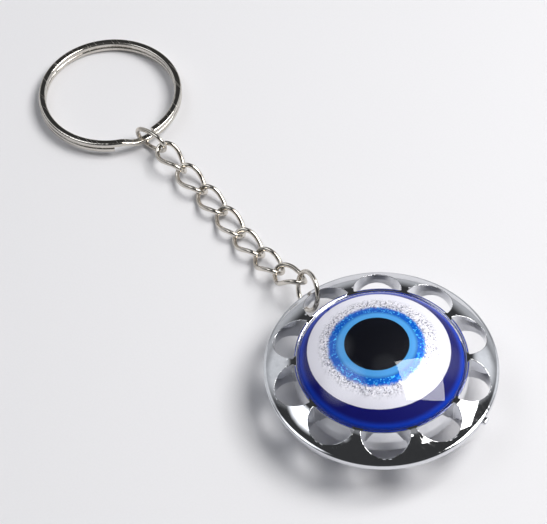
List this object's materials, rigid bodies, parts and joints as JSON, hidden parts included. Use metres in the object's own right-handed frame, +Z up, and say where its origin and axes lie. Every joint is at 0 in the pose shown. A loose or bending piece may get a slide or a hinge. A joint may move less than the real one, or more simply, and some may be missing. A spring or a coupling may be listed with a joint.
{
  "type": "evil eye keychain",
  "caption": "Evil eye keychain: a chrome wheel with petal holes and a blue eye under a clear dome on each face, hung from a split ring by a curb chain.",
  "frame": {"origin": "on the table, under the middle of the whole keychain as it lies flat", "axes": "+X from the split ring to the wheel, +Z up, out of the face of the eye"},
  "size_m": [0.1275, 0.0444, 0.0159],
  "materials": {
    "chrome_plate": "bright chrome plate on a plastic moulding",
    "clear_dome": "clear polished glass",
    "printed_eye": "gloss print with metal glitter flecks on a white dome",
    "adhesive_pad": "milky double-sided adhesive film",
    "nickel_wire": "bright nickel plate",
    "spring_steel": "nickel-plated spring steel, drawn and flattened"
  },
  "bodies": {
    "wheel": {"wheel_frame": "chrome_plate", "front_clear_dome": "clear_dome", "back_clear_dome": "clear_dome", "front_printed_eye": "printed_eye", "back_printed_eye": "printed_eye", "front_adhesive_pad": "adhesive_pad", "back_adhesive_pad": "adhesive_pad"},
    "jump_ring": {"jump_ring": "nickel_wire"},
    "curb_link_7": {"curb_link_7": "nickel_wire"},
    "curb_link_6": {"curb_link_6": "nickel_wire"},
    "curb_link_5": {"curb_link_5": "nickel_wire"},
    "curb_link_4": {"curb_link_4": "nickel_wire"},
    "curb_link_3": {"curb_link_3": "nickel_wire"},
    "curb_link_2": {"curb_link_2": "nickel_wire"},
    "curb_link_1": {"curb_link_1": "nickel_wire"},
    "ring_link": {"ring_link": "nickel_wire"},
    "split_ring": {"split_ring": "spring_steel"}
  },
  "joints": [
    {"name": "jump_ring_swing", "type": "hinge", "parent": "wheel", "child": "jump_ring", "pos_m": [0.01993, 0, 0.00714], "axis": [0, 1, 0], "range_deg": [-75, 80]},
    {"name": "link_7_hinge", "type": "hinge", "parent": "jump_ring", "child": "curb_link_7", "pos_m": [0.01545, 0.00071, 0.00592], "axis": [0, 0, 1], "range_deg": [-25, 25]},
    {"name": "link_6_hinge", "type": "hinge", "parent": "curb_link_7", "child": "curb_link_6", "pos_m": [0.00945, -0.00024, 0.00334], "axis": [0, 1, 0], "range_deg": [-20, 20]},
    {"name": "link_5_hinge", "type": "hinge", "parent": "curb_link_6", "child": "curb_link_5", "pos_m": [0.00302, -0.00002, 0.00186], "axis": [0, 0, 1], "range_deg": [-25, 25]},
    {"name": "link_4_hinge", "type": "hinge", "parent": "curb_link_5", "child": "curb_link_4", "pos_m": [-0.00357, -0.00013, 0.00151], "axis": [0, 1, 0], "range_deg": [-20, 20]},
    {"name": "link_3_hinge", "type": "hinge", "parent": "curb_link_4", "child": "curb_link_3", "pos_m": [-0.01015, 0.00033, 0.00151], "axis": [0, 0, 1], "range_deg": [-25, 25]},
    {"name": "link_2_hinge", "type": "hinge", "parent": "curb_link_3", "child": "curb_link_2", "pos_m": [-0.01675, 0.00033, 0.00163], "axis": [0, 1, 0], "range_deg": [-20, 20]},
    {"name": "link_1_hinge", "type": "hinge", "parent": "curb_link_2", "child": "curb_link_1", "pos_m": [-0.0233, -0.00001, 0.00232], "axis": [0, 0, 1], "range_deg": [-20, 25]},
    {"name": "ring_link_hinge", "type": "hinge", "parent": "curb_link_1", "child": "ring_link", "pos_m": [-0.02984, -0.00024, 0.00323], "axis": [0, 1, 0], "range_deg": [-20, 20]},
    {"name": "split_ring_swing", "type": "hinge", "parent": "ring_link", "child": "split_ring", "pos_m": [-0.03459, -0.00147, 0.002], "axis": [0, 1, 0], "range_deg": [-30, 45]}
  ]
}
